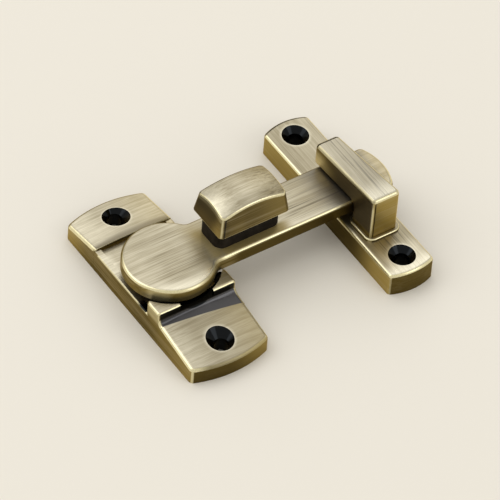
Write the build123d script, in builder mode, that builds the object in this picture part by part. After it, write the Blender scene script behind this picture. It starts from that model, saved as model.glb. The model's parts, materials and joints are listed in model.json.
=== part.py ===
"""Swing-bar latch in antique brass: a base plate with a pivoting bar, and a hooked keeper that catches it.

Frame, in millimetres: the origin is on the pivot axis, in the mounting plane, midway between the base
plate's two screw holes. +X runs from the base plate to the keeper, +Y is the side the hook opens to, and +Z
points out of the door.
"""

import os
from build123d import *

os.makedirs("parts", exist_ok=True)

# Base plate and keeper
PLATE_LENGTH = 54.6  # of both plates, corner to corner, without the bow of the ends

# Base plate
BASE_WIDTH = 22.0
BASE_BOW = 2.1  # how far each rounded end stands out past its corners
BASE_CORNER = 1.4
PAD_END_HEIGHT = 4.4
PAD_INNER_HEIGHT = 6.5
PAD_CROWN = 0.35  # rise of the pads' tops from the sides to the middle
RIM_HEIGHT = 6.0  # side rims of the channel
FLOOR_HEIGHT = 5.3  # channel floor, which the hub turns on
RIM_WIDTH = 1.8
STEP_GAP = 2.5  # from the pocket's edge to the step of the far pad
HORN_HEIGHT = 10.0
HORN_OPENING = 9.4  # between the horns, along X
HORN_END = 6.6  # from the pivot line to the far end of the horns
HORN_WALL = 12.6  # from the pivot to the outer face of the horns
HORN_CORNER = 2.0  # far corners of the horns, in plan
COVE_RISE = 1.8  # of the hollow between the near pad and the horns
COVE_REACH = 1.2  # of the hollow out from the horns, on the -X side
COVE_WIDE_REACH = 4.0  # the same on the +X side
SILL_DROP = 1.6  # from the horns' tops to the sill between them
POCKET_GAP = 1.3  # clearance round the disc, inside the horns
LEDGE = 1.1  # width of the sill inside the pocket
PAD_ROUND = 1.1
RIM_ROUND = 0.5
STEP_ROUND = 0.3
HORN_ROUND = 0.8
BASE_SCREW_SPACING = 46.8

# Screw holes, for 3.5 mm countersunk wood screws
SCREW_HOLE_RADIUS = 1.95
SCREW_SINK_RADIUS = 3.45
SINK_SPARE = 1.5  # how far the countersink's cutter stands above the face

# Pivot: a spigot under the disc, held from behind by a washer and a screw
HUB_RADIUS = 8.0
SPIGOT_RADIUS = 4.5
SPIGOT_CLEARANCE = 0.05
BACK_RECESS_RADIUS = 8.0
BACK_RECESS_DEPTH = 3.1
WASHER_RADIUS = 7.4
WASHER_THICKNESS = 0.8
SPRING_HEIGHT = 0.7
SPRING_THICKNESS = 0.3
SPRING_SEAT = 0.02  # clearance over and under the spring washer
SPRING_INNER_GAP = 0.4  # clearance of the spring washer round the spigot
PIVOT_SCREW_RADIUS = 2.0
PIVOT_HEAD_RADIUS = 3.9
PIVOT_HEAD_HEIGHT = 1.3
PIVOT_HEAD_ROUND = 0.4
PIVOT_SCREW_REACH = 6.0  # thread length inside the spigot
THREAD_CLEARANCE = 0.05
TAP_SPARE = 0.8  # depth of each tapped hole past the end of its screw

# Swing bar
DISC_RADIUS = 11.5
BAR_WIDTH = 14.2
BAR_REACH = 61.5  # pivot to the crown of the bowed tip
BAR_TIP_BOW = 1.9
BAR_TIP_CORNER = 1.6
BAR_THICKNESS = 3.75
BAR_LIFT = 3.7  # underside of the bar above the channel floor
NECK_FILLET = 2.4
BAR_ROUND = 1.0
BAR_UNDER_ROUND = 0.3

# Thumb knob on its dark collar
KNOB_FROM_PIVOT = 20.0
COLLAR_LENGTH = 18.2
COLLAR_WIDTH = 8.8
COLLAR_HEIGHT = 5.6
COLLAR_CORNER = 2.4
KNOB_LENGTH = 20.0
KNOB_WIDTH = 12.7
KNOB_CORNER = 1.3
KNOB_HEIGHT = 8.2  # at the crown
KNOB_DRAFT = 8.0  # degrees
KNOB_ARCH_RADIUS = 30.0  # top, lengthways
KNOB_CROWN_RADIUS = 14.0  # top, crossways
KNOB_ROUND = 0.9
KNOB_FOOT_ROUND = 0.3
KNOB_SCREW_SPACING = 8.6
KNOB_SCREW_RADIUS = 1.5
KNOB_SCREW_HEAD_RADIUS = 2.75
KNOB_SCREW_LENGTH = 13.0
KNOB_SCREW_CLEARANCE = 0.15

# Keeper
BAR_PAST_KEEPER = 9.7  # tip of the bar past the middle of the keeper
KEEPER_WIDTH = 12.8
KEEPER_BOW = 1.4
KEEPER_CORNER = 1.2
KEEPER_HEIGHT = 6.3  # at the sides
KEEPER_CROWN = 0.3  # rise of the top from the sides to the middle
KEEPER_ROUND = 0.9
KEEPER_SCREW_SPACING = 46.0
HOOK_WIDTH = 8.0  # over the post
HOOK_TIP_WIDTH = 6.5
HOOK_TIP_SHIFT = 1.9  # middle of the tip from the middle of the post, towards the base plate
HOOK_POST_DEPTH = 7.8  # along Y
HOOK_GAP = 0.3  # clearance between the bar and the hook, all round
HOOK_OVERHANG = 1.2  # tip of the hook past the bar's far edge
HOOK_BEAM = 6.5  # beam depth
HOOK_INNER_FILLET = 1.5
HOOK_CORNER = 1.2  # corners of the hook seen from the side
HOOK_ROUND = 1.1
HOOK_FOOT_MARGIN = 0.9  # raised foot round the post
HOOK_FOOT_RISE = 0.6  # of the foot over the crown of the keeper
HOOK_FOOT_CORNER = 2.2
HOOK_FOOT_ROUND = 0.4

# Cross recess of every screw head
RECESS_WIDTH = 0.9
RECESS_SPAN_SHARE = 0.6
RECESS_DEPTH = 0.8

# Heights and places that follow from the sizes above
BAR_BOTTOM = FLOOR_HEIGHT + BAR_LIFT
BAR_TOP = BAR_BOTTOM + BAR_THICKNESS
POCKET_RADIUS = DISC_RADIUS + POCKET_GAP
STEP_Y = POCKET_RADIUS + STEP_GAP
HORN_Y = -HORN_WALL
HORN_END_Y = -HORN_END
SILL_HEIGHT = HORN_HEIGHT - SILL_DROP
PAST_END = PLATE_LENGTH / 2 + 2 * BASE_BOW
PAD_SLOPE = (PAD_INNER_HEIGHT - PAD_END_HEIGHT) / (PLATE_LENGTH / 2 - STEP_Y)
RECESS_NEAR_Y = -0.65 * POCKET_RADIUS
SPIGOT_END = BACK_RECESS_DEPTH - SPRING_HEIGHT - 2 * SPRING_SEAT
WASHER_BOTTOM = SPIGOT_END - WASHER_THICKNESS
SPRING_BOTTOM = SPIGOT_END + SPRING_SEAT
SPRING_INNER_RADIUS = SPIGOT_RADIUS + SPRING_INNER_GAP
KNOB_BOTTOM = BAR_TOP + COLLAR_HEIGHT
KNOB_TOP = KNOB_BOTTOM + KNOB_HEIGHT
KEEPER_FROM_PIVOT = BAR_REACH - BAR_PAST_KEEPER
HOOK_POST_FACE = -BAR_WIDTH / 2 - HOOK_GAP
HOOK_NEAR = HOOK_POST_FACE - HOOK_POST_DEPTH
HOOK_TIP = BAR_WIDTH / 2 + HOOK_OVERHANG
HOOK_UNDER = BAR_TOP + HOOK_GAP
HOOK_FOOT_TOP = KEEPER_HEIGHT + KEEPER_CROWN + HOOK_FOOT_RISE
KNOB_SCREW_SPOTS = [
    (KNOB_FROM_PIVOT - KNOB_SCREW_SPACING / 2, 0),
    (KNOB_FROM_PIVOT + KNOB_SCREW_SPACING / 2, 0),
]
EPS = 0.001


def bowed_plan(width, length, bow, corner):
    """Plan of a plate along Y: straight sides, ends bowed out by a shallow arc, corners rounded."""
    side = width / 2
    end = length / 2
    with BuildSketch() as plan:
        with BuildLine():
            Line((side, -end), (side, end))
            ThreePointArc((side, end), (0, end + bow), (-side, end))
            Line((-side, end), (-side, -end))
            ThreePointArc((-side, -end), (0, -end - bow), (side, -end))
        make_face()
        fillet(plan.vertices(), corner)
    return plan.sketch


def crowned_section(width, height, crown):
    """Section to trim a plate to: its top is an arc, as high as this at the sides and a crown more midway.

    The section is a little wider than the plate, so that the plate's own sides stay as they are.
    """
    radius = (width**2 / 4 + crown**2) / (2 * crown)
    side = 0.55 * width
    side_height = height + crown - radius + (radius**2 - side**2) ** 0.5
    with BuildSketch() as section:
        with BuildLine():
            Polyline((-side, side_height), (-side, -height), (side, -height), (side, side_height))
            ThreePointArc((side, side_height), (0, height + crown), (-side, side_height))
        make_face()
    return section.sketch


def screw_cutter(surface):
    """A countersunk hole for a wood screw, from the mounting plane up through a face at this height."""
    cone_start = surface - (SCREW_SINK_RADIUS - SCREW_HOLE_RADIUS)
    with BuildPart() as cutter:
        with BuildSketch(Plane.XZ):
            with BuildLine():
                Polyline(
                    (0, 0),
                    (SCREW_HOLE_RADIUS, 0),
                    (SCREW_HOLE_RADIUS, cone_start),
                    (SCREW_SINK_RADIUS + SINK_SPARE, surface + SINK_SPARE),
                    (0, surface + SINK_SPARE),
                    close=True,
                )
            make_face()
        revolve(axis=Axis.Z)
    return cutter.part


def cross_recess(head_radius):
    """A cross-shaped cutter for a screw head that faces down, standing on the XY plane."""
    span = 2 * RECESS_SPAN_SHARE * head_radius
    with BuildPart() as cutter:
        with BuildSketch():
            Rectangle(span, RECESS_WIDTH)
            Rectangle(RECESS_WIDTH, span)
        extrude(amount=RECESS_DEPTH)
    return cutter.part


def pad_height(y):
    """Height of the pads' sloping top at the sides, which falls from the step to the plate's corners."""
    return PAD_INNER_HEIGHT - PAD_SLOPE * (abs(y) - STEP_Y)


# Horn wall: the raised block behind the near pad, with a cove to the pad that widens towards +X
with BuildPart() as horn_wall:
    for side, reach in ((-1, COVE_REACH), (1, COVE_WIDE_REACH)):
        foot_y = HORN_Y - reach
        foot_z = pad_height(foot_y)
        with BuildSketch(Plane.YZ.offset(side * BASE_WIDTH / 2)):
            with BuildLine():
                Polyline(
                    (foot_y, foot_z),
                    (foot_y, 0),
                    (HORN_END_Y, 0),
                    (HORN_END_Y, HORN_HEIGHT),
                    (HORN_Y, HORN_HEIGHT),
                    (HORN_Y, foot_z + COVE_RISE),
                )
                EllipticalCenterArc((foot_y, foot_z + COVE_RISE), reach, COVE_RISE, 270, arc_size=90)
            make_face()
    loft(ruled=True)
    far_corners = horn_wall.edges().filter_by(Axis.Z).filter_by(lambda e: e.center().Y > HORN_END_Y - EPS)
    fillet(far_corners, HORN_CORNER)
    side_edges = horn_wall.edges().filter_by(
        lambda e: abs(e.center().X) > BASE_WIDTH / 2 - EPS
        and FLOOR_HEIGHT < e.center().Z < HORN_HEIGHT - EPS
    )
    fillet(horn_wall.faces().sort_by(Axis.Z)[-1].edges() + side_edges, HORN_ROUND)
    with BuildSketch(Plane.XY.offset(RIM_HEIGHT)):
        Circle(POCKET_RADIUS - LEDGE)
    extrude(amount=HORN_HEIGHT, mode=Mode.SUBTRACT)
    with BuildSketch(Plane.XY.offset(SILL_HEIGHT)):
        Circle(POCKET_RADIUS)
        with Locations((0, HORN_Y)):
            Rectangle(HORN_OPENING, 2 * POCKET_GAP)
    extrude(amount=HORN_HEIGHT, mode=Mode.SUBTRACT)

# Channel: the low block under the disc, with a rim along each side and a recess between the rims
with BuildPart() as channel:
    with BuildSketch():
        with Locations((0, (STEP_Y + HORN_Y) / 2)):
            Rectangle(BASE_WIDTH, STEP_Y - HORN_Y)
    extrude(amount=RIM_HEIGHT)
    fillet(channel.faces().sort_by(Axis.Z)[-1].edges().filter_by(Axis.Y), RIM_ROUND)

# Base plate: one casting with two sloping pads, a rimmed channel, and two horns left by the round pocket
with BuildPart() as base_plate:
    with BuildSketch(Plane.XZ.offset(-STEP_Y)):
        add(crowned_section(BASE_WIDTH, PAD_INNER_HEIGHT, PAD_CROWN))
    extrude(amount=PAST_END - STEP_Y, dir=(0, 1, -PAD_SLOPE))
    with BuildSketch(Plane.XZ.offset(-HORN_Y)):
        add(crowned_section(BASE_WIDTH, pad_height(HORN_Y), PAD_CROWN))
    extrude(amount=PAST_END + HORN_Y, dir=(0, -1, -PAD_SLOPE))
    add(bowed_plan(BASE_WIDTH, PLATE_LENGTH, BASE_BOW, BASE_CORNER))
    extrude(amount=HORN_HEIGHT, mode=Mode.INTERSECT)
    pad_edges = base_plate.edges().filter_by(
        lambda e: e.center().Z > PAD_END_HEIGHT * 0.75
        and (e.center().Y > STEP_Y + EPS or e.center().Y < HORN_Y - EPS)
    )
    fillet(pad_edges, PAD_ROUND)
    step_edge = base_plate.edges().filter_by(
        lambda e: abs(e.center().Y - STEP_Y) < EPS and e.center().Z > PAD_INNER_HEIGHT
    )
    fillet(step_edge, STEP_ROUND)
    add(horn_wall.part)
    add(channel.part)
    with BuildSketch(Plane.XY.offset(FLOOR_HEIGHT)):
        with Locations((0, (STEP_Y + RECESS_NEAR_Y) / 2)):
            Rectangle(BASE_WIDTH - 2 * RIM_WIDTH, STEP_Y - RECESS_NEAR_Y)
    extrude(amount=RIM_HEIGHT - FLOOR_HEIGHT, mode=Mode.SUBTRACT)
    with Locations((0, 0, FLOOR_HEIGHT)):
        Hole(SPIGOT_RADIUS + SPIGOT_CLEARANCE)
    with BuildSketch():
        Circle(BACK_RECESS_RADIUS)
    extrude(amount=BACK_RECESS_DEPTH, mode=Mode.SUBTRACT)
    with Locations((0, BASE_SCREW_SPACING / 2), (0, -BASE_SCREW_SPACING / 2)):
        add(screw_cutter(pad_height(BASE_SCREW_SPACING / 2) + PAD_CROWN), mode=Mode.SUBTRACT)

base_plate.part.label = "base_plate"
export_step(base_plate.part, "parts/base_plate.step")

# Swing bar: disc and bar in one, with the hub it turns on and the spigot through the base plate
with BuildPart() as swing_bar:
    with BuildSketch(Plane.XY.offset(BAR_BOTTOM)) as bar_plan:
        Circle(DISC_RADIUS)
        with BuildLine():
            shoulder = BAR_REACH - BAR_TIP_BOW
            Polyline(
                (shoulder, -BAR_WIDTH / 2),
                (0, -BAR_WIDTH / 2),
                (0, BAR_WIDTH / 2),
                (shoulder, BAR_WIDTH / 2),
            )
            ThreePointArc((shoulder, BAR_WIDTH / 2), (BAR_REACH, 0), (shoulder, -BAR_WIDTH / 2))
        make_face()
        tip_corners = bar_plan.vertices().sort_by(Axis.X)[-2:]
        fillet(tip_corners, BAR_TIP_CORNER)
        necks = bar_plan.vertices().filter_by(
            lambda v: 0 < v.X < DISC_RADIUS and abs(abs(v.Y) - BAR_WIDTH / 2) < EPS
        )
        fillet(necks, NECK_FILLET)
    extrude(amount=BAR_THICKNESS)
    fillet(swing_bar.faces().sort_by(Axis.Z)[-1].edges(), BAR_ROUND)
    fillet(swing_bar.faces().sort_by(Axis.Z)[0].edges(), BAR_UNDER_ROUND)
    with BuildSketch(Plane.XY.offset(FLOOR_HEIGHT)):
        Circle(HUB_RADIUS)
    extrude(amount=BAR_LIFT)
    with BuildSketch(Plane.XY.offset(SPIGOT_END)):
        Circle(SPIGOT_RADIUS)
    extrude(amount=FLOOR_HEIGHT - SPIGOT_END)
    with BuildSketch(Plane.XY.offset(SPIGOT_END)):
        Circle(PIVOT_SCREW_RADIUS + THREAD_CLEARANCE)
    extrude(amount=PIVOT_SCREW_REACH + TAP_SPARE, mode=Mode.SUBTRACT)
    with BuildSketch(Plane.XY.offset(BAR_BOTTOM)):
        with Locations(KNOB_SCREW_SPOTS):
            Circle(KNOB_SCREW_RADIUS + KNOB_SCREW_CLEARANCE)
    extrude(amount=BAR_THICKNESS, mode=Mode.SUBTRACT)
    with BuildSketch(Plane.XY.offset(BAR_BOTTOM)):
        with Locations(KNOB_SCREW_SPOTS):
            Circle(KNOB_SCREW_HEAD_RADIUS + KNOB_SCREW_CLEARANCE)
    extrude(amount=KNOB_SCREW_HEAD_RADIUS - KNOB_SCREW_RADIUS, taper=45, mode=Mode.SUBTRACT)

swing_bar.part.label = "swing_bar"
export_step(swing_bar.part, "parts/swing_bar.step")

# Spring washer: a shallow cone in the back recess, its inner edge up, that gives the bar its friction
with BuildPart() as spring_washer:
    with BuildSketch(Plane.XZ):
        with BuildLine():
            Polyline(
                (WASHER_RADIUS, SPRING_BOTTOM),
                (WASHER_RADIUS, SPRING_BOTTOM + SPRING_THICKNESS),
                (SPRING_INNER_RADIUS, SPRING_BOTTOM + SPRING_HEIGHT),
                (SPRING_INNER_RADIUS, SPRING_BOTTOM + SPRING_HEIGHT - SPRING_THICKNESS),
                close=True,
            )
        make_face()
    revolve(axis=Axis.Z)

spring_washer.part.label = "spring_washer"
export_step(spring_washer.part, "parts/spring_washer.step")

# Back washer: clamped on the end of the spigot
with BuildPart() as back_washer:
    with BuildSketch(Plane.XY.offset(WASHER_BOTTOM)):
        Circle(WASHER_RADIUS)
        Circle(PIVOT_SCREW_RADIUS + THREAD_CLEARANCE, mode=Mode.SUBTRACT)
    extrude(amount=WASHER_THICKNESS)

back_washer.part.label = "back_washer"
export_step(back_washer.part, "parts/back_washer.step")

# Pivot screw: a low head under the back washer, its thread in the spigot
with BuildPart() as pivot_screw:
    with BuildSketch(Plane.XY.offset(WASHER_BOTTOM - PIVOT_HEAD_HEIGHT)):
        Circle(PIVOT_HEAD_RADIUS)
    extrude(amount=PIVOT_HEAD_HEIGHT)
    fillet(pivot_screw.edges().sort_by(Axis.Z)[0], PIVOT_HEAD_ROUND)
    with BuildSketch(Plane.XY.offset(WASHER_BOTTOM)):
        Circle(PIVOT_SCREW_RADIUS)
    extrude(amount=WASHER_THICKNESS + PIVOT_SCREW_REACH)
    with Locations((0, 0, WASHER_BOTTOM - PIVOT_HEAD_HEIGHT)):
        add(cross_recess(PIVOT_HEAD_RADIUS), mode=Mode.SUBTRACT)

pivot_screw.part.label = "pivot_screw"
export_step(pivot_screw.part, "parts/pivot_screw.step")

# Knob collar: the dark stem between the bar and the knob
with BuildPart() as knob_collar:
    with BuildSketch(Plane.XY.offset(BAR_TOP)):
        with Locations((KNOB_FROM_PIVOT, 0)):
            RectangleRounded(COLLAR_LENGTH, COLLAR_WIDTH, COLLAR_CORNER)
        with Locations(KNOB_SCREW_SPOTS):
            Circle(KNOB_SCREW_RADIUS + KNOB_SCREW_CLEARANCE, mode=Mode.SUBTRACT)
    extrude(amount=COLLAR_HEIGHT)

knob_collar.part.label = "knob_collar"
export_step(knob_collar.part, "parts/knob_collar.step")

# Thumb knob: a drafted block under a barrel-shaped top, arched lengthways and crowned crossways
with BuildPart() as thumb_knob:
    with BuildSketch(Plane.XY.offset(KNOB_BOTTOM)):
        with Locations((KNOB_FROM_PIVOT, 0)):
            Rectangle(KNOB_LENGTH, KNOB_WIDTH)
    extrude(amount=KNOB_HEIGHT + KNOB_ROUND, taper=KNOB_DRAFT)
    upright_edges = thumb_knob.edges().filter_by(
        lambda e: abs(e.center().Z - KNOB_BOTTOM - (KNOB_HEIGHT + KNOB_ROUND) / 2) < EPS
    )
    fillet(upright_edges, KNOB_CORNER)
    with BuildSketch(Plane.YZ.offset(KNOB_FROM_PIVOT)):
        with BuildLine():
            CenterArc((0, KNOB_TOP - KNOB_CROWN_RADIUS), KNOB_CROWN_RADIUS, 45, 90)
            half = KNOB_CROWN_RADIUS * 0.5**0.5
            crown_foot = KNOB_TOP - KNOB_CROWN_RADIUS + half
            Polyline(
                (-half, crown_foot),
                (-half, KNOB_TOP - KNOB_ARCH_RADIUS),
                (half, KNOB_TOP - KNOB_ARCH_RADIUS),
                (half, crown_foot),
            )
        make_face()
    revolve(axis=Axis((KNOB_FROM_PIVOT, 0, KNOB_TOP - KNOB_ARCH_RADIUS), (0, 1, 0)), mode=Mode.INTERSECT)
    fillet(thumb_knob.faces().sort_by(Axis.Z)[-1].edges(), KNOB_ROUND)
    fillet(thumb_knob.faces().sort_by(Axis.Z)[0].edges(), KNOB_FOOT_ROUND)
    with BuildSketch(Plane.XY.offset(KNOB_BOTTOM)):
        with Locations(KNOB_SCREW_SPOTS):
            Circle(KNOB_SCREW_RADIUS + THREAD_CLEARANCE)
    extrude(amount=KNOB_SCREW_LENGTH - BAR_THICKNESS - COLLAR_HEIGHT + TAP_SPARE, mode=Mode.SUBTRACT)

thumb_knob.part.label = "thumb_knob"
export_step(thumb_knob.part, "parts/thumb_knob.step")

# Knob screws: two countersunk machine screws, from under the bar up into the knob
with BuildPart() as knob_screws:
    with BuildSketch(Plane.XY.offset(BAR_BOTTOM)):
        with Locations(KNOB_SCREW_SPOTS):
            Circle(KNOB_SCREW_HEAD_RADIUS)
    extrude(amount=KNOB_SCREW_HEAD_RADIUS - KNOB_SCREW_RADIUS, taper=45)
    with BuildSketch(Plane.XY.offset(BAR_BOTTOM)):
        with Locations(KNOB_SCREW_SPOTS):
            Circle(KNOB_SCREW_RADIUS)
    extrude(amount=KNOB_SCREW_LENGTH)
    with Locations([(x, y, BAR_BOTTOM) for x, y in KNOB_SCREW_SPOTS]):
        add(cross_recess(KNOB_SCREW_HEAD_RADIUS), mode=Mode.SUBTRACT)

knob_screws.part.label = "knob_screws"
export_step(knob_screws.part, "parts/knob_screws.step")

# Hook: a post on a low foot, and a beam over the bar that narrows and leans to the base plate at its tip
with BuildPart() as hook:
    with BuildSketch(Plane.YZ.offset(KEEPER_FROM_PIVOT)) as hook_side:
        with BuildLine():
            Polyline(
                (HOOK_NEAR, KEEPER_HEIGHT / 2),
                (HOOK_NEAR, HOOK_UNDER + HOOK_BEAM),
                (HOOK_TIP, HOOK_UNDER + HOOK_BEAM),
                (HOOK_TIP, HOOK_UNDER),
                (HOOK_POST_FACE, HOOK_UNDER),
                (HOOK_POST_FACE, KEEPER_HEIGHT / 2),
                close=True,
            )
        make_face()
        outer = hook_side.vertices().filter_by(
            lambda v: v.Y > HOOK_UNDER + EPS or v.X > HOOK_TIP - EPS
        )
        fillet(outer, HOOK_CORNER)
        inner = hook_side.vertices().filter_by(
            lambda v: abs(v.X - HOOK_POST_FACE) < EPS and abs(v.Y - HOOK_UNDER) < EPS
        )
        fillet(inner, HOOK_INNER_FILLET)
    extrude(amount=HOOK_WIDTH, both=True)
    with BuildSketch(Plane(origin=(KEEPER_FROM_PIVOT, 0, 0))):
        with BuildLine():
            Polyline(
                (-HOOK_WIDTH / 2, HOOK_NEAR),
                (HOOK_WIDTH / 2, HOOK_NEAR),
                (HOOK_TIP_WIDTH / 2 - HOOK_TIP_SHIFT, HOOK_TIP),
                (-HOOK_TIP_WIDTH / 2 - HOOK_TIP_SHIFT, HOOK_TIP),
                close=True,
            )
        make_face()
    extrude(amount=HOOK_UNDER + HOOK_BEAM, mode=Mode.INTERSECT)
    flanks = hook.faces().filter_by(lambda f: abs(f.normal_at().X) > 0.9).edges()
    fillet(flanks.filter_by(lambda e: e.center().Z > KEEPER_HEIGHT / 2 + EPS), HOOK_ROUND)

# Foot of the hook: a low pad with rounded corners that the post stands on
with BuildPart() as hook_foot:
    with BuildSketch(Plane.XY.offset(KEEPER_HEIGHT / 2)):
        with Locations((KEEPER_FROM_PIVOT, (HOOK_NEAR + HOOK_POST_FACE) / 2)):
            RectangleRounded(
                HOOK_WIDTH + 2 * HOOK_FOOT_MARGIN,
                HOOK_POST_DEPTH + 2 * HOOK_FOOT_MARGIN,
                HOOK_FOOT_CORNER,
            )
    extrude(amount=HOOK_FOOT_TOP - KEEPER_HEIGHT / 2)
    fillet(hook_foot.faces().sort_by(Axis.Z)[-1].edges(), HOOK_FOOT_ROUND)

# Keeper: one casting, a flat plate with a hook that reaches over the bar from the near side
with BuildPart() as keeper:
    with BuildSketch(Plane.XZ):
        with Locations((KEEPER_FROM_PIVOT, 0)):
            add(crowned_section(KEEPER_WIDTH, KEEPER_HEIGHT, KEEPER_CROWN))
    extrude(amount=PLATE_LENGTH, both=True)
    with BuildSketch():
        with Locations((KEEPER_FROM_PIVOT, 0)):
            add(bowed_plan(KEEPER_WIDTH, PLATE_LENGTH, KEEPER_BOW, KEEPER_CORNER))
    extrude(amount=2 * KEEPER_HEIGHT, mode=Mode.INTERSECT)
    fillet(keeper.faces().sort_by(Axis.Z)[-1].edges(), KEEPER_ROUND)
    add(hook.part)
    add(hook_foot.part)
    with Locations(
        (KEEPER_FROM_PIVOT, KEEPER_SCREW_SPACING / 2),
        (KEEPER_FROM_PIVOT, -KEEPER_SCREW_SPACING / 2),
    ):
        add(screw_cutter(KEEPER_HEIGHT + KEEPER_CROWN), mode=Mode.SUBTRACT)

keeper.part.label = "keeper"
export_step(keeper.part, "parts/keeper.step")
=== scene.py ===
"""Looks of a swing-bar child safety latch.

Brushed antique brass finishes for its nodes, a pale stage, soft light and a camera.
"""

import json
from functools import reduce
from math import cos, radians, sin

import bpy
from bpy.props import FloatProperty, FloatVectorProperty, PointerProperty
from mathutils import Matrix, Vector

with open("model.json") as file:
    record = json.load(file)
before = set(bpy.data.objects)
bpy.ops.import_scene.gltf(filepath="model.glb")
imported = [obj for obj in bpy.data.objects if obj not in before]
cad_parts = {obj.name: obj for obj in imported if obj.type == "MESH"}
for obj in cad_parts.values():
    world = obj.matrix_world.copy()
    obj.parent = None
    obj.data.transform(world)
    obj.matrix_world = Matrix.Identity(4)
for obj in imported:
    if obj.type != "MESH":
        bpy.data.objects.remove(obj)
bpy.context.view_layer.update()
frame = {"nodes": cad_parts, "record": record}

bl_info = {
    "name": "Swing-bar latch looks",
    "version": (1, 0, 0),
    "blender": (4, 5, 0),
    "location": "3D View > Sidebar > Latch",
    "description": "Finishes the nodes of a swing-bar latch and sets its stage",
    "category": "Object",
}

NODES = frame["nodes"]

# Millimetres in a metre, the picture's width in pixels and the camera's sensor in millimetres.
MM = 1000.0
IMAGE_WIDTH = 500
SENSOR_WIDTH = 36.0

# Outputs of the brush grain, the masks that choose between the brass's paints, and the paints with
# the settings that hold their colours.
GRAIN_FIELDS = ("Lines", "Hairs", "Strokes", "Clouds")
# Several face masks paint light and shade: shade, warm light, highlights on edges and tops, slate shade and
# cool light, and black shade beside the black finish.
FACE_MASKS = ("Top", "Edge", "Dim", "Warm", "Scored", "Film", "Hollow", "Recess")
PAINTS = {
    "Brushed": "brushed",
    "Streak": "streak",
    "Bronze": "bronze",
    "Patina": "patina",
    "Gold": "warm_light",
    "Worn": "worn",
    "Pale": "pale",
    "Slate": "slate",
    "Black": "black_and_shade",
}

# Upward share of the normal from which a face counts as a brushed top.
FLAT_TOP = 0.96
PILLOW_TOP = 0.86

# Roughness of plain brass, and what brush lines, rubbed edges and black recesses take from it.
PLAIN_ROUGHNESS = 0.42
LINE_POLISH = 0.10
EDGE_POLISH = 0.14
RECESS_POLISH = 0.16

# Warm tint of the brass at grazing angles.
BRASS_GLANCE = (1.0, 0.88, 0.64, 1.0)

# Depth of the bump of the brush lines and of the moulded and plated grain, in metres.
BRUSH_DEPTH = 0.00004
FINE_DEPTH = 0.00003

# Places on the pieces, in millimetres: the pivot's axis, the heights at which the countersinks' cones
# would close to a point, and the cove's foot, which runs across the base plate at a slope.
PIVOT = (0.0, 0.0)
BASE_CONE_FOOT = 1.98
KEEPER_CONE_FOOT = 3.15
COVE_FOOT = -15.2
COVE_SLOPE = -0.127

# How fast the border of the knob's pivot end falls away from the middle, per millimetre.
BORDER_BOW = 0.036

# Stage, in metres. The floor lies a hair under the part, so that the two don't flicker.
FLOOR_REACH = 3.0
FLOOR_DEPTH = -0.00002
WORLD_TINT = (1.0, 0.97, 0.90, 1.0)
LAMP_TINT = (0.98, 0.985, 1.0)
LAMP_TARGET = (0.025, 0.0, 0.0)
CAMERA_AIM = (0.02493, 0.00160, 0.0)

# Each softbox: its name, its place, the length of its side and the setting that holds its power.
SOFTBOXES = (
    ("key_box", (-0.70, 0.60, 1.24), 1.5, "key"),
    ("back_box", (0.90, 1.24, 1.24), 1.5, "back"),
    ("top_box", (0.35, 0.10, 1.75), 1.3, "top"),
    ("front_box", (0.65, -1.10, 0.85), 0.7, "front"),
)


def screw_spots(mount_name):
    """The two hole centres of a mount of the record, in millimetres, spaced along Y about its place."""
    mount = next(m for m in frame["record"]["mounts"] if m["name"] == mount_name)
    x, y, _ = mount["pos_m"]
    half = mount["dims"]["spacing_y_mm"] / 2
    return [(x * MM, y * MM + half), (x * MM, y * MM - half)]


def colour(name, description, default):
    """A colour property with a picker, in linear light."""
    return FloatVectorProperty(
        name=name, description=description, subtype="COLOR", size=3, min=0, max=1, default=default
    )


def power(name, description, default):
    """A property for a lamp's power, in watts."""
    return FloatProperty(name=name, description=description, subtype="POWER", default=default)


def camera_angle(name, description, degrees):
    """A property for one of the camera's angles, given in degrees."""
    return FloatProperty(name=name, description=description, subtype="ANGLE", default=radians(degrees))


class LatchBrass(bpy.types.PropertyGroup):
    """Colours and grain of the brushed antique brass."""

    brushed: colour("Brushed", "Light ridges of the brushed tops", (0.66, 0.61, 0.475))
    streak: colour("Streak", "Dark lines that the brush leaves", (0.23, 0.195, 0.12))
    bronze: colour("Bronze", "Lighter parts of the unbrushed sides", (0.27, 0.196, 0.050))
    patina: colour("Patina", "Darker parts of the unbrushed sides", (0.085, 0.060, 0.016))
    # This gold is painted warm light on sides and tops, not a colour that the lacquer left.
    warm_light: colour("Gold", "Sides that the lacquer left golden", (0.40, 0.30, 0.095))
    # Worn is rubbed brass on the edges and also a painted highlight there; pale is a painted highlight on
    # the tops.
    worn: colour("Worn edge", "Edges rubbed bright", (0.95, 0.87, 0.55))
    pale: colour("Pale top", "Tops rubbed bright", (0.93, 0.885, 0.72))
    # Slate is the colour of dark brush strokes, and also painted shade in the cove, by the hook and on the
    # knob, and painted cool light on the hook's top.
    slate: colour("Slate", "Grey cove below the horns and shade by the hook", (0.098, 0.096, 0.100))
    # Black is the blackened finish in the countersinks, and also painted shade in the pocket, on the horn
    # fronts, under the disc and on other faces in shadow.
    black_and_shade: colour("Recess", "Blackened holes and hollows", (0.014, 0.0155, 0.017))
    grain_width: FloatProperty(
        name="Grain width", description="Across one brush line, in millimetres", default=0.26
    )
    grain_length: FloatProperty(
        name="Grain length", description="Along one brush line, in millimetres", default=14.0
    )


class LatchTrim(bpy.types.PropertyGroup):
    """Colours of the collar and of the steel fasteners."""

    collar: colour("Collar", "Black plastic under the knob", (0.010, 0.008, 0.006))
    steel: colour("Steel", "Zinc plated screws and washers", (0.62, 0.63, 0.65))


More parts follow.
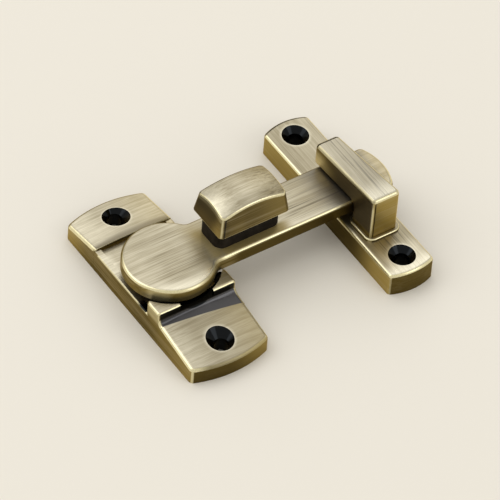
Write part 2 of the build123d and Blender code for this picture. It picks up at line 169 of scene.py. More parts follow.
class LatchStage(bpy.types.PropertyGroup):
    """Floor, light and camera."""

    floor: colour("Floor", "Pale floor", (0.78, 0.748, 0.68))
    world: FloatProperty(name="World", description="Strength of the even light all round", default=0.72)
    key: power("Key", "Power of the key softbox", 8.5)
    back: power("Back", "Power of the back softbox", 5.0)
    top: power("Top", "Power of the overhead softbox", 2.0)
    front: power("Front", "Power of the front softbox", 2.2)
    azimuth: camera_angle("Azimuth", "Of the camera round the part", -37.05)
    elevation: camera_angle("Elevation", "Of the camera above the floor", 46.79)
    roll: camera_angle("Roll", "Of the camera about its own axis", 4.99)
    distance: FloatProperty(
        name="Distance", description="From the camera to its aim", subtype="DISTANCE", default=1.543
    )
    focal: FloatProperty(
        name="Focal length", description="In pixels of the picture's width", default=6429.6
    )


class Field:
    """A number that varies over a surface: a node socket whose sums and products are Math nodes."""

    def __init__(self, tree, socket):
        self.tree = tree
        self.socket = socket

    def math(self, operation, *others):
        """One Math node of this field and up to two more fields or numbers."""
        node = self.tree.nodes.new("ShaderNodeMath")
        node.operation = operation
        for place, value in zip(node.inputs, (self, *others)):
            if isinstance(value, Field):
                self.tree.links.new(value.socket, place)
            else:
                place.default_value = value
        return Field(self.tree, node.outputs[0])

    def __add__(self, other):
        return self.math("ADD", other)

    def __sub__(self, other):
        return self.math("SUBTRACT", other)

    def __mul__(self, other):
        return self.math("MULTIPLY", other)

    def __abs__(self):
        return self.math("ABSOLUTE")

    def scaled(self, share, start):
        """The field times a share, on top of a start value."""
        return self.math("MULTIPLY_ADD", share, start)

    def flip(self):
        """One minus the field."""
        return self.scaled(-1.0, 1.0)

    def least(self, other):
        """The smaller of two fields."""
        return self.math("MINIMUM", other)

    def most(self, other):
        """The larger of two fields."""
        return self.math("MAXIMUM", other)

    def rise(self, low, high):
        """0 below low, 1 above high and a smooth step between; it falls where low is above high."""
        node = self.tree.nodes.new("ShaderNodeMapRange")
        node.interpolation_type = "SMOOTHSTEP"
        self.tree.links.new(self.socket, node.inputs["Value"])
        node.inputs["From Min"].default_value = min(low, high)
        node.inputs["From Max"].default_value = max(low, high)
        node.inputs["To Min"].default_value = 0.0 if low < high else 1.0
        node.inputs["To Max"].default_value = 1.0 if low < high else 0.0
        return Field(self.tree, node.outputs["Result"])

    def band(self, low, high, soft):
        """1 between low and high, 0 outside, with soft sides."""
        return self.rise(low - soft, low + soft) * self.rise(high + soft, high - soft)


def strongest(*fields):
    """The largest of several fields at each point."""
    return reduce(Field.most, fields)


def new_group(name, inputs, outputs):
    """A shader node group with the named sockets; gives the group, its input node and its output node."""
    group = bpy.data.node_groups.new(name, "ShaderNodeTree")
    for label, kind in inputs:
        group.interface.new_socket(label, in_out="INPUT", socket_type=kind)
    for label, kind in outputs:
        group.interface.new_socket(label, in_out="OUTPUT", socket_type=kind)
    return group, group.nodes.new("NodeGroupInput"), group.nodes.new("NodeGroupOutput")


def mix(tree, share, first, second):
    """Mix of two colours by a share; each colour is a socket or a triple."""
    node = tree.nodes.new("ShaderNodeMix")
    node.data_type = "RGBA"
    tree.links.new(share.socket, node.inputs[0])
    for place, value in ((node.inputs[6], first), (node.inputs[7], second)):
        if isinstance(value, bpy.types.NodeSocket):
            tree.links.new(value, place)
        else:
            place.default_value = (*value, 1.0)
    return node.outputs[2]


def noise(tree, vector, scale, detail, roughness=0.5):
    """Noise field of a vector socket."""
    node = tree.nodes.new("ShaderNodeTexNoise")
    tree.links.new(vector, node.inputs["Vector"])
    node.inputs["Scale"].default_value = scale
    node.inputs["Detail"].default_value = detail
    node.inputs["Roughness"].default_value = roughness
    return Field(tree, node.outputs["Fac"])


def grain_group():
    """Brush lines: noise of the position in grain units, in several sizes, and slow clouds across the part.

    Position is divided by the grain's length along the brush and by its width across it.
    """
    name = "Brush grain"
    if name in bpy.data.node_groups:
        return bpy.data.node_groups[name]
    group, start, end = new_group(
        name,
        [("Position", "NodeSocketVector"), ("Grain", "NodeSocketVector")],
        [(label, "NodeSocketFloat") for label in GRAIN_FIELDS],
    )
    divide = group.nodes.new("ShaderNodeVectorMath")
    divide.operation = "DIVIDE"
    group.links.new(start.outputs["Position"], divide.inputs[0])
    group.links.new(start.outputs["Grain"], divide.inputs[1])
    grain = divide.outputs[0]
    broad = noise(group, grain, scale=0.30, detail=2.0).rise(0.25, 0.75)
    narrow = noise(group, grain, scale=0.9, detail=3.0, roughness=0.6).rise(0.22, 0.78)
    hairs = noise(group, grain, scale=2.3, detail=2.0).rise(0.25, 0.75)
    clouds = noise(group, start.outputs["Position"], scale=0.11, detail=2.0).rise(0.30, 0.70)
    deep = noise(group, grain, scale=0.55, detail=1.0).rise(0.56, 0.70) * clouds.scaled(-0.7, 1.0)
    shallow = noise(group, grain, scale=1.2, detail=2.0).rise(0.54, 0.66) * 0.5
    made = {
        "Lines": broad * 0.50 + narrow * 0.55,
        "Hairs": hairs,
        "Strokes": deep.most(shallow),
        "Clouds": clouds,
    }
    for label, field in made.items():
        group.links.new(field.socket, end.inputs[label])
    return group


def relief_group():
    """Relieved antique brass: brushed tops, dark sides partly from painted shade, worn edges with painted
    highlights and black recesses partly painted as shade.

    The masks choose between the paints, from the plain faces up: brushed or side, with painted shade
    and painted warm light, then worn edges and painted highlights, filmed, painted slate shade and black.
    """
    name = "Relieved brass"
    if name in bpy.data.node_groups:
        return bpy.data.node_groups[name]
    value, shade = "NodeSocketFloat", "NodeSocketColor"
    masks = GRAIN_FIELDS + FACE_MASKS
    group, start, end = new_group(
        name,
        [(label, value) for label in masks] + [(label, shade) for label in PAINTS],
        [("Color", shade), ("Roughness", value), ("Metallic", value), ("Height", value)],
    )
    field = {label: Field(group, start.outputs[label]) for label in masks}
    paint = {label: start.outputs[label] for label in PAINTS}
    top, edge, black_and_shade = field["Top"], field["Edge"], field["Recess"]
    # bright is what the painted shade mask leaves; painted shade darkens brushed tops towards the streak
    # colour and sides towards the patina.
    bright = field["Dim"].flip()
    lines = field["Lines"] - field["Strokes"] * field["Scored"].scaled(0.65, 0.25)

    tone = lines * 0.60 + field["Hairs"] * 0.16 + field["Clouds"] * 0.18 + 0.01
    brushed = mix(group, tone * bright.scaled(0.8, 0.2), paint["Streak"], paint["Brushed"])
    # Painted warm light turns brushed tops and sides golden.
    brushed = mix(group, field["Warm"] * 0.4, brushed, paint["Gold"])
    brushed = mix(group, field["Strokes"] * field["Scored"] * 0.6, brushed, paint["Slate"])

    side_tone = lines * 0.45 + field["Clouds"] * 0.35
    side = mix(group, side_tone * bright, paint["Patina"], paint["Bronze"])
    side = mix(group, field["Warm"], side, paint["Gold"])
    side = mix(group, lines.rise(0.35, 0.90) * bright * 0.16, side, paint["Brushed"])

    faces = mix(group, top, side, brushed)
    # Worn edges and painted highlights: worn colour on the rounded edges, pale painted highlight on the
    # tops.
    rubbed = edge * field["Hairs"].scaled(0.3, 0.7)
    edged = mix(group, rubbed, faces, mix(group, top, paint["Worn"], paint["Pale"]))
    filmed = mix(group, field["Film"], edged, paint["Bronze"])
    # Painted slate shade and cool light.
    slate_shade_and_cool_light = mix(group, field["Hollow"], filmed, paint["Slate"])
    # Black finish in the countersinks, and painted black shade elsewhere.
    group.links.new(mix(group, black_and_shade, slate_shade_and_cool_light, paint["Black"]), end.inputs["Color"])

    rough = (lines * top).scaled(-LINE_POLISH, PLAIN_ROUGHNESS) - edge * EDGE_POLISH - black_and_shade * RECESS_POLISH
    group.links.new(rough.socket, end.inputs["Roughness"])
    group.links.new(field["Film"].scaled(-0.8, 1.0).socket, end.inputs["Metallic"])
    height = (lines * 0.6 + field["Hairs"] * 0.4) * top * black_and_shade.flip()
    group.links.new(height.socket, end.inputs["Height"])
    return group


def new_material(name):
    """An empty node material; gives the material, its tree and its Principled shader."""
    material = bpy.data.materials.new(name)
    material.use_nodes = True
    tree = material.node_tree
    return material, tree, tree.nodes["Principled BSDF"]


def place_and_normal(tree):
    """Object position in millimetres as a socket, its three fields, and the normal's three fields."""
    source = tree.nodes.new("ShaderNodeTexCoord")
    scale = tree.nodes.new("ShaderNodeVectorMath")
    scale.operation = "SCALE"
    scale.inputs["Scale"].default_value = MM
    tree.links.new(source.outputs["Object"], scale.inputs[0])
    parts = []
    for socket in (scale.outputs[0], source.outputs["Normal"]):
        split = tree.nodes.new("ShaderNodeSeparateXYZ")
        tree.links.new(socket, split.inputs[0])
        parts.append([Field(tree, axis) for axis in split.outputs])
    return scale.outputs[0], parts[0], parts[1]


def away(x, y, spot):
    """Distance from an upright axis through a spot."""
    return ((x - spot[0]).math("POWER", 2.0) + (y - spot[1]).math("POWER", 2.0)).math("SQRT")


def bump(tree, shader, height, strength, distance):
    """Feeds a height field, in its own units, to the shader's normal."""
    node = tree.nodes.new("ShaderNodeBump")
    node.inputs["Strength"].default_value = strength
    node.inputs["Distance"].default_value = distance
    tree.links.new(height.socket, node.inputs["Height"])
    tree.links.new(node.outputs["Normal"], shader.inputs["Normal"])


def grain_node(tree, place, axis):
    """The brush grain, with its lines along one axis."""
    tones = bpy.context.scene.latch_brass
    node = tree.nodes.new("ShaderNodeGroup")
    node.node_tree = grain_group()
    widths = [tones.grain_width] * 3
    widths["XYZ".index(axis)] = tones.grain_length
    node.inputs["Grain"].default_value = widths
    tree.links.new(place, node.inputs["Position"])
    return node


def brass(name, grain_along, flat_from, masks):
    """Antique brass for one node.

    grain_along is the axis of the brush lines, which turn on the faces that end that axis. flat_from
    is the upward share of the normal from which a face counts as brushed. masks takes the position
    and the normal, and gives fields by the names of the relief's masks, which paint shade, warm light,
    highlights, slate and black as well as wear. Its wear mask adds wear and painted highlights beyond
    that of the rounded edges, and its Dull is taken from theirs.
    """
    tones = bpy.context.scene.latch_brass
    material, tree, shader = new_material(name)
    place, position, normal = place_and_normal(tree)
    up = normal[2]
    relief = tree.nodes.new("ShaderNodeGroup")
    relief.node_tree = relief_group()
    along = grain_node(tree, place, grain_along)
    across = grain_node(tree, place, "Y" if grain_along == "X" else "X")
    ends = abs(normal["XYZ".index(grain_along)]).rise(0.60, 0.80)
    for label in GRAIN_FIELDS:
        first = Field(tree, along.outputs[label])
        second = Field(tree, across.outputs[label])
        tree.links.new((first + (second - first) * ends).socket, relief.inputs[label])

    # Upright corners and the rounding of the upper edges are rubbed and lit by a painted highlight, but not
    # where they turn to +Y.
    corner = abs(normal[0] * normal[1]).rise(0.40, 0.49) * abs(up).rise(0.5, 0.3)
    rounded = up.band(0.28, flat_from - 0.05, 0.06).most(corner * 0.8) * normal[1].rise(0.45, 0.15)
    # The masks carry painted shade, painted warm light, painted highlights and painted slate and black
    # shade, beside wear, grain and film.
    worn = masks(position, normal)
    worn["Top"] = up.rise(flat_from - 0.12, flat_from)
    worn["Edge"] = (rounded - worn.pop("Dull", 0.0)).most(worn["Edge"])
    for label, mask in worn.items():
        tree.links.new(mask.socket, relief.inputs[label])
    for label, setting in PAINTS.items():
        relief.inputs[label].default_value = (*getattr(tones, setting), 1.0)

    tree.links.new(relief.outputs["Color"], shader.inputs["Base Color"])
    tree.links.new(relief.outputs["Roughness"], shader.inputs["Roughness"])
    if "Film" in worn:
        tree.links.new(relief.outputs["Metallic"], shader.inputs["Metallic"])
    else:
        shader.inputs["Metallic"].default_value = 1.0
    bump(tree, shader, Field(tree, relief.outputs["Height"]), strength=0.25, distance=BRUSH_DEPTH)
    shader.inputs["Specular Tint"].default_value = BRASS_GLANCE
    return material


def level_faces(normal):
    """Faces that look up."""
    return normal[2].rise(0.9, 0.96)


def left_faces(normal):
    """Faces that look to -X."""
    return normal[0].rise(-0.7, -0.9)


def near_faces(normal):
    """Faces that look to -Y."""
    return normal[1].rise(-0.7, -0.9)


def far_edge(normal, start):
    """The rounded upper edges that turn towards +Y, from a start value of the normal's Y."""
    return normal[1].band(start, 0.66, 0.03) * normal[2].rise(0.2, 0.4) * 0.85


def corner_line(normal, lean):
    """A thin line down the rounded corners of the faces that look to -Y, on walls up to a lean."""
    return normal[1].band(-0.985, -0.92, 0.015) * abs(normal[2]).rise(lean, lean - 0.1) * 0.9


def hole_masks(position, normal, mount_name, cone_foot):
    """Two masks for the countersinks of a mount: black inside them, and a rim and halo round each, rubbed
    and brightened by a painted highlight.

    cone_foot is the height at which the cones would close to a point.
    """
    x, y, z = position
    first, second = (away(x, y, spot) for spot in screw_spots(mount_name))
    nearest = first.least(second)
    beyond = nearest - z + cone_foot
    # The rim and halo are rubbed brass lit by a painted highlight.
    rim = beyond.band(0.0, 0.18, 0.10) * 0.5
    halo = beyond.rise(0.9, 0.1) * 0.24
    black = nearest.rise(4.8, 4.5) * normal[2].band(-0.9, 0.875, 0.055)
    return black, nearest.rise(5.4, 5.0) * strongest(rim, halo) * level_faces(normal)


def base_masks(position, normal):
    """Base plate, with places in millimetres.

    The countersinks are black, and the pocket, sill and horn fronts are painted black as shade, the pocket
    also blackened. The cove is painted slate as shade and cool light, widens towards +X, and its painted
    black shade deepens towards -X. The pads, channel floor and horn sides carry painted highlights on the
    -X half. The near end, the far step and the +X half of the near pad carry painted shade. The +X half and
    the ends of the -X side are painted golden as warm light.
    """
    x, y, z = position
    level = level_faces(normal)
    left = left_faces(normal)
    hole, rim = hole_masks(position, normal, "base_screws", BASE_CONE_FOOT)
    below_horns = z.rise(9.75, 9.55)
    before_horns = y.rise(-12.3, -12.5)
    middle = abs(x).rise(10.6, 10.2)

    # Painted black shade in the pocket, on the horn fronts and on the sill, with the pocket also blackened;
    # the cove is painted slate, and its painted black shade deepens towards -X.
    pocket = away(x, y, PIVOT).rise(13.1, 12.9) * y.rise(-3.0, -5.0) * z.rise(5.6, 5.9) * below_horns
    horn_front_shade = before_horns * normal[1].rise(-0.75, -0.9) * z.rise(7.6, 8.2) * below_horns * middle
    sill_place = abs(x).rise(5.0, 4.8) * y.band(-14.4, -11.0, 0.1) * z.band(8.2, 9.6, 0.1)
    sill = sill_place * normal[1].rise(-0.95, -0.9)
    past_foot = (y - x * COVE_SLOPE - COVE_FOOT).rise(-0.05, 0.15)
    cove = past_foot * before_horns * below_horns * middle * z.rise(1.0, 2.0)
    cove_shade = cove * x.rise(9.0, -9.0).scaled(0.33, 0.12)

    # Painted shade on the near end, the far step and the +X half of the near pad; painted highlights on the
    # pads, channel floor and horn sides; painted warm light on the +X half and the ends of the -X side.
    near_end = y.rise(-24.0, -27.0) * normal[1].rise(-0.2, -0.6)
    near_end_edge = near_end * x.rise(-10.5, -6.0) * 0.75
    near_pad_shade = y.rise(-14.0, -17.0) * x.rise(-10.0, -4.0) * 0.45
    near_pad_highlight = y.rise(-15.5, -18.0) * x.rise(-3.0, -9.0) * level * 0.18
    far_pad_highlight = y.rise(15.5, 17.0) * level * x.rise(-2.0, -11.0).scaled(0.2, 0.08)
    far_step_shade = y.band(12.0, 17.0, 1.0) * z.rise(6.2, 6.5)
    far_step_side = y.band(13.9, 15.9, 0.3) * abs(x).rise(10.3, 10.6) * z.rise(6.4, 5.9)
    channel_floor_highlight = y.band(-2.0, 13.5, 1.0) * x.rise(-7.0, -9.0) * level * 0.3
    channel_rim = y.band(-6.0, 15.0, 0.8) * abs(x).rise(9.9, 10.2) * z.rise(6.3, 6.1) * 0.4
    horn_side_highlight = left * y.band(-14.5, -7.0, 0.8) * z.rise(6.0, 7.5) * 0.45
    warm_light_ends = left * (y.rise(-8.0, -26.0) * 0.6).most(y.rise(18.0, 26.0) * 0.8)
    warm_light_half = x.rise(-2.0, 11.0) * 0.7
    return {
        "Edge": strongest(rim, far_pad_highlight, horn_side_highlight, near_pad_highlight, channel_floor_highlight),
        "Dull": strongest(near_end_edge, far_step_side, channel_rim),
        "Dim": strongest(near_end * 0.9, far_step_shade, near_pad_shade),
        "Warm": strongest(warm_light_half, warm_light_ends),
        "Hollow": strongest(cove, far_step_shade * 0.3),
        "Recess": strongest(hole, pocket, horn_front_shade, sill, cove_shade),
    }


def keeper_masks(position, normal):
    """Keeper, with places in millimetres.

    The countersinks, the far edges and a line down the hook's near corner are black. The plate carries
    painted shade round the hook's foot and at both ends, and is scored before the hook. The hook carries
    painted shade inside, is scored and painted with shade and with a slate tint of cool light on its top,
    painted slate shade on its -X side, and painted warm light on its outer face and tip. The ends of the
    plate's -X side carry painted warm light. The near end of the plate, the hook's top and its tip carry
    painted highlights.
    """
    x, y, z = position
    left = left_faces(normal)
    near = near_faces(normal)
    hole, rim = hole_masks(position, normal, "keeper_screws", KEEPER_CONE_FOOT)
    plate = z.rise(8.0, 7.6)
    plate_left = z.rise(7.0, 6.6) * left
    hook = z.rise(7.2, 7.6)
    hook_top = z.rise(18.5, 19.2)

    # Painted highlights on the hook's tip and top and on the plate's near end; the tip also takes painted
    # warm light.
    tip = y.rise(-2.0, 8.0) * z.rise(19.0, 14.5) * hook
    tip_highlight = tip * left * 0.40
    top_highlight = hook_top * y.rise(-8.0, -14.0).scaled(0.5, 0.16)
    near_end_highlight = y.rise(-23.0, -28.0) * normal[2].rise(0.5, 0.9) * 0.65
    low_edges = z.rise(6.0, 5.0) * 0.5
    hook_roll = normal[0].rise(-0.3, -0.5) * z.rise(16.0, 18.0) * 0.45

    # Painted shade round the hook's foot, inside the hook, on the plate's ends and on the hook's top.
    foot = plate * y.band(-19.5, -1.0, 3.0) * 0.8
    under_hook = z.rise(8.0, 9.0) * y.rise(9.0, 2.0)
    inside = under_hook * normal[2].rise(0.3, 0.1) * normal[1].rise(-0.6, -0.4) * 0.9
    near_end_shade = y.rise(-26.0, -27.5) * near * 0.7
    far_end_shade = plate * y.rise(6.0, 16.0) * 0.3
    top_shade = hook_top * y.band(-10.0, 5.0, 4.0) * x.rise(46.0, 53.0) * 0.6

    # Painted warm light on the hook's outer face and the ends of the plate's -X side, and painted slate
    # shade on the hook's -X side.
    outer = near * hook
    near_corner_warm_light = plate_left * y.rise(-11.0, -22.0)
    far_corner_warm_light = plate_left * y.rise(5.0, 14.0) * 0.8
    scuffs = plate * y.band(-21.0, -15.0, 4.0) * 0.8
    hook_left_shade = left * z.rise(8.0, 9.0) * y.rise(5.0, -3.0) * 0.35
    line = corner_line(normal, 0.3) * x.rise(50.0, 49.0) * hook
    far = far_edge(normal, 0.14) * z.rise(6.0, 6.5)
    return {
        "Edge": strongest(rim, near_end_highlight, top_highlight, tip_highlight),
        "Dull": strongest(low_edges, hook_roll),
        "Dim": strongest(foot, inside, near_end_shade, top_shade, far_end_shade),
        "Warm": strongest(outer, tip, near_corner_warm_light, far_corner_warm_light),
        "Scored": strongest(hook_top, scuffs),
        "Hollow": strongest(hook_top * 0.18, hook_left_shade),
        "Recess": strongest(hole, line, far),
    }


def bar_masks(position, normal):
    """Swing bar, with places in millimetres.

    The disc's near rim and the neck carry painted highlights. A dull bronze film lies round the collar and
    on the disc's sides. The neck carries painted shade and painted warm light, the near side painted shade,
    and the stretch by and under the hook a painted shadow, dark and slate. The tip is painted golden as warm
    light. The hub under the bar and the foot of the disc's near side are painted black as shade.
    """
    x, y, z = position
    level = level_faces(normal)
    from_pivot = away(x, y, PIVOT)
    past_neck = x.rise(12.0, 16.0)

    # Painted highlights on the disc's near rim and the neck.
    disc_rim_highlight = from_pivot.rise(6.0, 11.0) * y.rise(-3.0, -9.0) * level * 0.6
    neck_highlight = x.band(8.0, 11.5, 1.5) * y.band(-6.5, 1.0, 2.0) * level * 0.3
    near_edge = y.rise(-5.0, -6.0) * normal[2].rise(0.64, 0.52) * past_neck * 0.85
    neck_edge = x.rise(0.0, 6.0) * x.rise(12.0, 10.0) * y.rise(-4.0, -7.0) * 0.6

    # Painted shade and warm light on the neck, painted shade on the near side, a painted shadow by and under
    # the hook, and painted warm light on the tip.
    neck = x.band(4.0, 12.0, 4.0) * abs(y).rise(9.0, 4.0) * x.rise(4.0, 10.0)
    near_side_shade = normal[1].rise(-0.5, -0.7) * past_neck * 0.95
    hook_shade = x.rise(30.0, 45.0) * x.rise(58.0, 54.0) * 0.8
    hook_shadow = x.rise(38.0, 48.0) * x.rise(60.0, 56.0) * level * 0.72
    tip = x.rise(56.0, 60.0) * 0.7
    disc_scored = from_pivot.rise(11.0, 6.0) * 0.3
    hook_scored = x.rise(28.0, 34.0) * x.rise(60.0, 56.0) * 0.8

    collar_film = x.band(11.0, 30.0, 2.0) * y.rise(-3.4, -4.6) * level * 0.85
    neck_film = x.band(8.5, 12.5, 1.5) * y.band(-6.8, 3.5, 1.5) * level * 0.72
    sides = y.rise(-3.0, -6.0).most(y.rise(3.0, 6.0)) * normal[2].rise(0.5, 0.3)
    disc_film = from_pivot.band(10.9, 12.0, 0.3) * sides * 0.6
    # Painted black shade on the hub under the disc and at the foot of the disc's near side.
    hub = z.rise(8.97, 8.85)
    disc_near = from_pivot.rise(10.6, 10.9) * x.rise(10.0, 8.0) * y.rise(-3.0, -6.0)
    disc_foot_shade = disc_near * z.rise(11.4, 10.0) * 0.6
    return {
        "Edge": strongest(disc_rim_highlight, neck_highlight),
        "Dull": strongest(near_edge, neck_edge),
        "Dim": strongest(neck * 0.6, hook_shade, near_side_shade),
        "Warm": strongest(neck * 0.5, tip),
        "Scored": strongest(disc_scored, hook_scored),
        "Film": strongest(collar_film, neck_film, disc_film),
        "Hollow": hook_shadow,
        "Recess": strongest(hub, disc_foot_shade),
    }


def knob_masks(position, normal):
    """Thumb knob, with places in millimetres.

    The pivot end carries painted shade and painted slate shade, with a painted highlight along its border
    above and painted warm light on its near corner. The half by the keeper carries painted warm light and
    painted shade, and is scored. The far edge and a line down the near corner are black. The foot and the
    top by the pivot carry painted highlights.
    """
    x, y, z = position
    pivot_end = left_faces(normal)
    # Painted highlights on the foot, the top by the pivot and the border of the pivot end.
    foot = z.rise(18.75, 18.60) * 0.7
    top_highlight = x.rise(17.0, 11.0) * normal[2].rise(0.75, 0.9) * 0.35
    border = (z + y * y * BORDER_BOW).rise(23.5, 24.1) * pivot_end * 0.35
    # Painted shade on the pivot end and the half by the keeper, painted warm light on the near corner and
    # that half, and painted slate shade on the near faces and the pivot end.
    pivot_end_shade = pivot_end * y.rise(-5.5, -2.0) * 0.9
    end_shade = pivot_end * z.rise(19.5, 22.5) * y.rise(-5.0, -2.0) * 0.52
    near_corner_warm_light = pivot_end * z.rise(24.0, 19.0) * y.rise(-1.0, -5.5)
    keeper_half_shade = x.rise(20.0, 32.0) * 0.4
    keeper_half_warm_light = x.rise(17.0, 29.0) * 0.55
    keeper_scored = x.rise(18.0, 28.0) * 0.8
    near_slate = normal[1].rise(-0.5, -0.8) * 0.15
    line = corner_line(normal, 0.35) * x.rise(13.0, 12.0)
    return {
        "Edge": strongest(foot, top_highlight, border),
        "Dim": strongest(pivot_end_shade, keeper_half_shade),
        "Warm": strongest(near_corner_warm_light, keeper_half_warm_light),
        "Scored": keeper_scored,
        "Hollow": strongest(near_slate, pivot_end * 0.2),
        "Recess": strongest(line, far_edge(normal, 0.39), end_shade),
    }


def dress(node_name, material):
    """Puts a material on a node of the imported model."""
    NODES[node_name].material_slots[0].material = material


class LATCH_OT_base_plate(bpy.types.Operator):
    """Brush the base plate along X, with black countersinks, painted black shade in the pocket and on the
    horn fronts, and a cove painted slate as shade
    """

    bl_idname = "latch.base_plate"
    bl_label = "Finish base plate"

    def execute(self, context):
        dress("base_plate", brass("brass_base_plate", "X", FLAT_TOP, base_masks))
        return {"FINISHED"}


class LATCH_OT_swing_bar(bpy.types.Operator):
    """Brush the swing bar and its disc along X"""

    bl_idname = "latch.swing_bar"
    bl_label = "Finish swing bar"

    def execute(self, context):
        dress("swing_bar", brass("brass_swing_bar", "X", FLAT_TOP, bar_masks))
        return {"FINISHED"}


class LATCH_OT_thumb_knob(bpy.types.Operator):
    """Brush the thumb knob along X"""

    bl_idname = "latch.thumb_knob"
    bl_label = "Finish thumb knob"

    def execute(self, context):
        dress("thumb_knob", brass("brass_thumb_knob", "X", PILLOW_TOP, knob_masks))
        return {"FINISHED"}


class LATCH_OT_keeper(bpy.types.Operator):
    """Brush the keeper and its hook along Y, with black countersinks"""

    bl_idname = "latch.keeper"
    bl_label = "Finish keeper"

    def execute(self, context):
        dress("keeper", brass("brass_keeper", "Y", FLAT_TOP, keeper_masks))
        return {"FINISHED"}


class LATCH_OT_knob_collar(bpy.types.Operator):
    """Make the knob's collar black plastic with a faint moulded grain"""

    bl_idname = "latch.knob_collar"
    bl_label = "Finish knob collar"

    def execute(self, context):
        material, tree, shader = new_material("collar_plastic")
        place, _, _ = place_and_normal(tree)
        tone = context.scene.latch_trim.collar
        lighter = [2.2 * share for share in tone]
        flow = noise(tree, place, scale=0.5, detail=3.0)
        grain = noise(tree, place, scale=6.0, detail=2.0)
        tree.links.new(mix(tree, flow.rise(0.3, 0.7), tone, lighter), shader.inputs["Base Color"])
        tree.links.new(flow.scaled(0.18, 0.50).socket, shader.inputs["Roughness"])
        shader.inputs["Specular IOR Level"].default_value = 0.06
        bump(tree, shader, grain, strength=0.08, distance=FINE_DEPTH)
        dress("knob_collar", material)
        return {"FINISHED"}


class LATCH_OT_fasteners(bpy.types.Operator):
    """Make the screws and washers zinc plated steel"""

    bl_idname = "latch.fasteners"
    bl_label = "Finish fasteners"

    def execute(self, context):
        material, tree, shader = new_material("zinc_steel_plate")
        place, _, _ = place_and_normal(tree)
        tone = context.scene.latch_trim.steel
        darker = [0.72 * share for share in tone]
        spangle = noise(tree, place, scale=1.1, detail=4.0).rise(0.3, 0.7)
        grain = noise(tree, place, scale=5.0, detail=2.0)
        tree.links.new(mix(tree, spangle, darker, tone), shader.inputs["Base Color"])
        tree.links.new(spangle.scaled(-0.12, 0.44).socket, shader.inputs["Roughness"])
        shader.inputs["Metallic"].default_value = 1.0
        bump(tree, shader, grain, strength=0.1, distance=FINE_DEPTH)
        for node_name in ("knob_screws", "pivot_screw", "back_washer", "spring_washer"):
            dress(node_name, material)
        return {"FINISHED"}


def lay_floor(scene, tint):
    """A square of matt paper under the part."""
    near, far = -FLOOR_REACH, FLOOR_REACH
    corners = [(x, y, FLOOR_DEPTH) for x, y in ((near, near), (far, near), (far, far), (near, far))]
    mesh = bpy.data.meshes.new("floor")
    mesh.from_pydata(corners, [], [(0, 1, 2, 3)])
    floor = bpy.data.objects.new("floor", mesh)
    scene.collection.objects.link(floor)
    material, _, shader = new_material("floor_paper")
    shader.inputs["Base Color"].default_value = (*tint, 1.0)
    shader.inputs["Roughness"].default_value = 0.9
    shader.inputs["Specular IOR Level"].default_value = 0.1
    mesh.materials.append(material)


def light_world(scene, strength):
    """Even light from all round."""
    world = bpy.data.worlds.new("soft_room")
    world.use_nodes = True
    sky = world.node_tree.nodes["Background"]
    sky.inputs["Color"].default_value = WORLD_TINT
    sky.inputs["Strength"].default_value = strength
    scene.world = world


def softbox(scene, name, place, size, watts):
    """A square area light at a place, turned to face the part."""
    lamp = bpy.data.lights.new(name, "AREA")
    lamp.shape = "SQUARE"
    lamp.size = size
    lamp.energy = watts
    lamp.color = LAMP_TINT
    light = bpy.data.objects.new(name, lamp)
    toward = Vector(LAMP_TARGET) - Vector(place)
    turn = toward.to_track_quat("-Z", "Y").to_matrix().to_4x4()
    light.matrix_world = Matrix.Translation(place) @ turn
    scene.collection.objects.link(light)


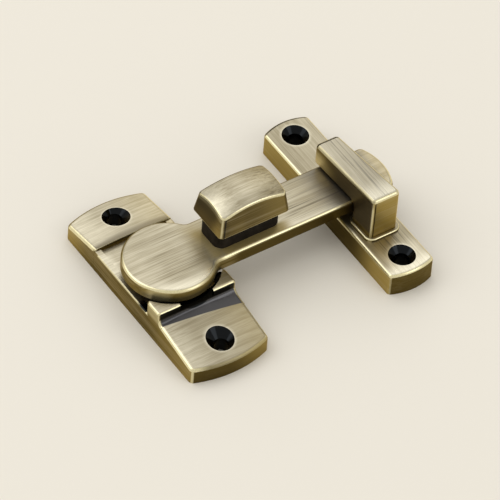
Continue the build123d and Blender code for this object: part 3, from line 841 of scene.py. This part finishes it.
def place_camera(scene, stage):
    """The camera, backed off from its aim by its angles and its distance, and rolled about its axis."""
    turn, lift, roll = stage.azimuth, stage.elevation, stage.roll
    back = Vector((sin(turn) * cos(lift), -cos(turn) * cos(lift), sin(lift)))
    right = Vector((cos(turn), sin(turn), 0.0))
    up = back.cross(right)
    rolled_right = right * cos(roll) + up * sin(roll)
    rolled_up = up * cos(roll) - right * sin(roll)
    camera = bpy.data.objects.new("camera", bpy.data.cameras.new("camera"))
    turned = Matrix((rolled_right, rolled_up, back)).transposed().to_4x4()
    camera.matrix_world = Matrix.Translation(Vector(CAMERA_AIM) + back * stage.distance) @ turned
    camera.data.sensor_width = SENSOR_WIDTH
    camera.data.lens = SENSOR_WIDTH * stage.focal / IMAGE_WIDTH
    scene.collection.objects.link(camera)
    scene.camera = camera


class LATCH_OT_stage(bpy.types.Operator):
    """Lay a pale floor, set four softboxes and an even world, and place the camera"""

    bl_idname = "latch.stage"
    bl_label = "Set the stage"

    def execute(self, context):
        scene = context.scene
        stage = scene.latch_stage
        lay_floor(scene, stage.floor)
        light_world(scene, stage.world)
        for name, place, size, setting in SOFTBOXES:
            softbox(scene, name, place, size, getattr(stage, setting))
        place_camera(scene, stage)
        scene.view_settings.view_transform = "Standard"
        return {"FINISHED"}


PIECE_OPERATORS = (
    LATCH_OT_base_plate,
    LATCH_OT_swing_bar,
    LATCH_OT_thumb_knob,
    LATCH_OT_keeper,
    LATCH_OT_knob_collar,
    LATCH_OT_fasteners,
    LATCH_OT_stage,
)
SETTINGS = (("latch_brass", LatchBrass), ("latch_trim", LatchTrim), ("latch_stage", LatchStage))


class LATCH_PT_panel(bpy.types.Panel):
    """Lists the latch's settings and its operators"""

    bl_idname = "LATCH_PT_panel"
    bl_label = "Swing-bar latch"
    bl_space_type = "VIEW_3D"
    bl_region_type = "UI"
    bl_category = "Latch"

    def draw(self, context):
        for holder, group in SETTINGS:
            box = self.layout.box()
            for setting in group.__annotations__:
                box.prop(getattr(context.scene, holder), setting)
        for operator in PIECE_OPERATORS:
            self.layout.operator(operator.bl_idname)


CLASSES = tuple(group for _, group in SETTINGS) + PIECE_OPERATORS + (LATCH_PT_panel,)


def register():
    """Registers the classes and hangs the settings on the scene."""
    for item in CLASSES:
        bpy.utils.register_class(item)
    for holder, group in SETTINGS:
        setattr(bpy.types.Scene, holder, PointerProperty(type=group))


def unregister():
    """Takes the settings and the classes away again."""
    for holder, _ in SETTINGS:
        delattr(bpy.types.Scene, holder)
    for item in reversed(CLASSES):
        bpy.utils.unregister_class(item)


def main():
    """Registers the add-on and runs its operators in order."""
    register()
    for operator in PIECE_OPERATORS:
        space, action = operator.bl_idname.split(".")
        getattr(getattr(bpy.ops, space), action)()


if __name__ == "__main__":
    main()
